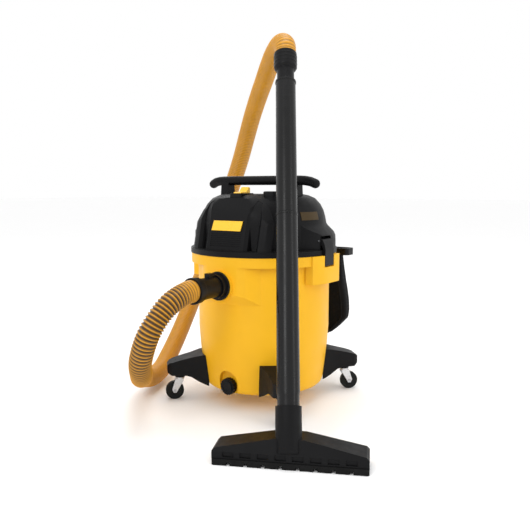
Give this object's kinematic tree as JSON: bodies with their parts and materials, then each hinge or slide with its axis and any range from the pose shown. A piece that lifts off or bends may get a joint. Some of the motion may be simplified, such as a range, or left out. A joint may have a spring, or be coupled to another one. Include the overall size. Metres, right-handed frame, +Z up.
{
  "type": "wet and dry shop vacuum",
  "caption": "Canister shop vacuum on swivel casters with lift-off motor head, side latches, carry handle, corrugated hose, extension wands, floor nozzle and tool bag.",
  "frame": {"origin": "centre of the drum's flat underside, 43 mm above the floor that the wheels and the nozzle stand on", "axes": "+Z up along the drum's axis, -Y out through the hose inlet at the front, +X to the vacuum's right-hand latch"},
  "size_m": [0.9118, 0.7656, 0.9872],
  "materials": {
    "yellow_plastic": "satin moulded",
    "black_plastic": "fine texture",
    "hose_plastic": "corrugated",
    "seal_rubber": "matte",
    "wheel_rubber": "smooth",
    "zinc_plate": "zinc plated",
    "steel": "turned",
    "fan_aluminium": "pressed",
    "filter_paper": "pleated",
    "label": "printed film, blank",
    "bag_fabric": "woven"
  },
  "bodies": {
    "base": {"drum": "yellow_plastic", "inlet_flange": "black_plastic", "inlet_deflector": "black_plastic", "hose_connector": "black_plastic", "hose": "hose_plastic", "hose_cuff": "black_plastic", "wand_upper": "black_plastic", "wand_lower": "black_plastic", "nozzle_body": "black_plastic", "nozzle_strip": "seal_rubber", "foot_front_left": "black_plastic", "foot_front_right": "black_plastic", "foot_rear_right": "black_plastic", "foot_rear_left": "black_plastic", "tool_bag_bracket": "black_plastic", "tool_bag": "bag_fabric"},
    "lock_tab": {"connector_lock_tab": "black_plastic"},
    "drain_plug": {"drain_cap": "black_plastic", "drain_seal": "seal_rubber"},
    "head": {"head_base": "black_plastic", "head_seal": "seal_rubber", "head_cover": "black_plastic", "handle": "black_plastic", "switch_bezel": "black_plastic", "name_plate": "yellow_plastic", "rating_label": "label", "cord_gland": "seal_rubber", "motor": "steel", "fan_housing": "black_plastic", "float_cage": "black_plastic", "latch_pin_right": "steel", "latch_pin_left": "steel"},
    "power_switch": {"switch_rocker": "yellow_plastic"},
    "port_cap": {"blower_port_cap": "black_plastic"},
    "fan_rotor": {"impeller": "fan_aluminium", "motor_shaft": "steel"},
    "float": {"float_ball": "yellow_plastic"},
    "filter_unit": {"filter": "filter_paper", "filter_cap": "black_plastic"},
    "latch_right_arm": {"latch_right": "black_plastic"},
    "latch_left_arm": {"latch_left": "black_plastic"},
    "caster_front_left": {"caster_fork_front_left": "zinc_plate", "caster_axle_front_left": "steel"},
    "wheel_front_left": {"caster_wheel_front_left": "wheel_rubber"},
    "caster_front_right": {"caster_fork_front_right": "zinc_plate", "caster_axle_front_right": "steel"},
    "wheel_front_right": {"caster_wheel_front_right": "wheel_rubber"},
    "caster_rear_right": {"caster_fork_rear_right": "zinc_plate", "caster_axle_rear_right": "steel"},
    "wheel_rear_right": {"caster_wheel_rear_right": "wheel_rubber"},
    "caster_rear_left": {"caster_fork_rear_left": "zinc_plate", "caster_axle_rear_left": "steel"},
    "wheel_rear_left": {"caster_wheel_rear_left": "wheel_rubber"}
  },
  "joints": [
    {"name": "head_lift", "type": "slide", "parent": "base", "child": "head", "axis": [0, 0, 1], "range_m": [0, 0.13]},
    {"name": "latch_right_swing", "type": "hinge", "parent": "head", "child": "latch_right_arm", "pos_m": [0.19, 0, 0.403], "axis": [0, -1, 0], "range_deg": [0, 60]},
    {"name": "latch_left_swing", "type": "hinge", "parent": "head", "child": "latch_left_arm", "pos_m": [-0.19, 0, 0.403], "axis": [0, 1, 0], "range_deg": [0, 60]},
    {"name": "power_switch_rock", "type": "hinge", "parent": "head", "child": "power_switch", "pos_m": [0, -0.103, 0.523], "axis": [-1, 0, 0], "range_deg": [0, 16]},
    {"name": "port_cap_pull", "type": "slide", "parent": "head", "child": "port_cap", "axis": [0, 0, 1], "range_m": [0, 0.02]},
    {"name": "fan_spin", "type": "hinge", "parent": "head", "child": "fan_rotor", "pos_m": [0, 0, 0.387], "axis": [0, 0, 1], "continuous": true},
    {"name": "float_rise", "type": "slide", "parent": "head", "child": "float", "axis": [0, 0, 1], "range_m": [0, 0.045]},
    {"name": "filter_pull", "type": "slide", "parent": "head", "child": "filter_unit", "axis": [0, 0, -1], "range_m": [0, 0.11]},
    {"name": "lock_tab_press", "type": "slide", "parent": "base", "child": "lock_tab", "axis": [0, 0, -1], "range_m": [0, 0.002], "stiffness_N_per_m": 1500},
    {"name": "drain_turn", "type": "hinge", "parent": "base", "child": "drain_plug", "pos_m": [0, -0.165, 0.02], "axis": [0, -1, 0], "range_deg": [0, 540]},
    {"name": "swivel_front_left", "type": "hinge", "parent": "base", "child": "caster_front_left", "pos_m": [-0.16758, -0.16758, 0.017], "axis": [0, 0, 1], "continuous": true},
    {"name": "roll_front_left", "type": "hinge", "parent": "caster_front_left", "child": "wheel_front_left", "pos_m": [-0.17819, -0.17819, -0.018], "axis": [0.7071, -0.7071, 0], "continuous": true},
    {"name": "swivel_front_right", "type": "hinge", "parent": "base", "child": "caster_front_right", "pos_m": [0.16758, -0.16758, 0.017], "axis": [0, 0, 1], "continuous": true},
    {"name": "roll_front_right", "type": "hinge", "parent": "caster_front_right", "child": "wheel_front_right", "pos_m": [0.17819, -0.17819, -0.018], "axis": [0.7071, 0.7071, 0], "continuous": true},
    {"name": "swivel_rear_right", "type": "hinge", "parent": "base", "child": "caster_rear_right", "pos_m": [0.16758, 0.16758, 0.017], "axis": [0, 0, 1], "continuous": true},
    {"name": "roll_rear_right", "type": "hinge", "parent": "caster_rear_right", "child": "wheel_rear_right", "pos_m": [0.17819, 0.17819, -0.018], "axis": [-0.7071, 0.7071, 0], "continuous": true},
    {"name": "swivel_rear_left", "type": "hinge", "parent": "base", "child": "caster_rear_left", "pos_m": [-0.16758, 0.16758, 0.017], "axis": [0, 0, 1], "continuous": true},
    {"name": "roll_rear_left", "type": "hinge", "parent": "caster_rear_left", "child": "wheel_rear_left", "pos_m": [-0.17819, 0.17819, -0.018], "axis": [-0.7071, -0.7071, 0], "continuous": true}
  ]
}
